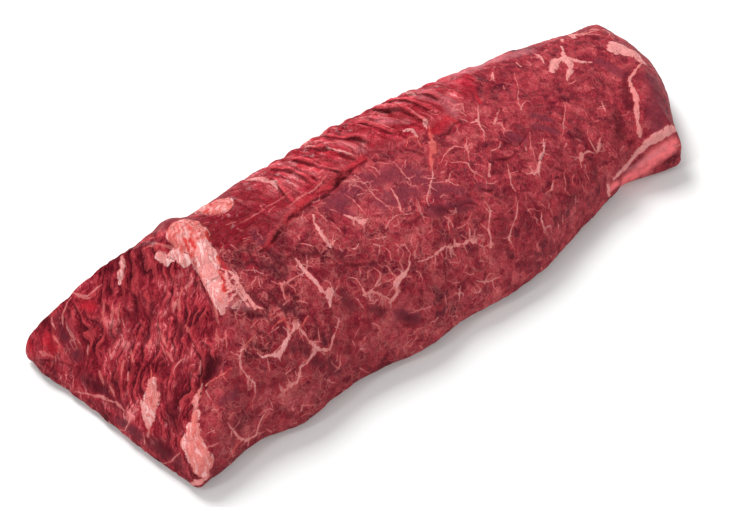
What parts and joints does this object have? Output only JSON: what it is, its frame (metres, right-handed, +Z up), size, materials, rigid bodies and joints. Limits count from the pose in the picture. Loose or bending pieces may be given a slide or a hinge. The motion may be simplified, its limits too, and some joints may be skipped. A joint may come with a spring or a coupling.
{
  "type": "hanger steak",
  "caption": "Long slab of raw, trimmed beef with a slanting cut face, a ridge of fat on its rim, a wrinkled shoulder and a thin oblique end.",
  "frame": {"origin": "on the flat underside, in the middle of the box round the steak", "axes": "+X runs along the steak from the slanting cut face to the thin end, +Y runs across it towards the wrinkled shoulder, and +Z is up"},
  "size_m": [0.284, 0.098, 0.0456],
  "materials": {
    "raw_beef": "moist raw muscle, dark red with pale marbling and pinkish fat"
  },
  "bodies": {
    "root": {"steak": "raw_beef"}
  },
  "joints": []
}
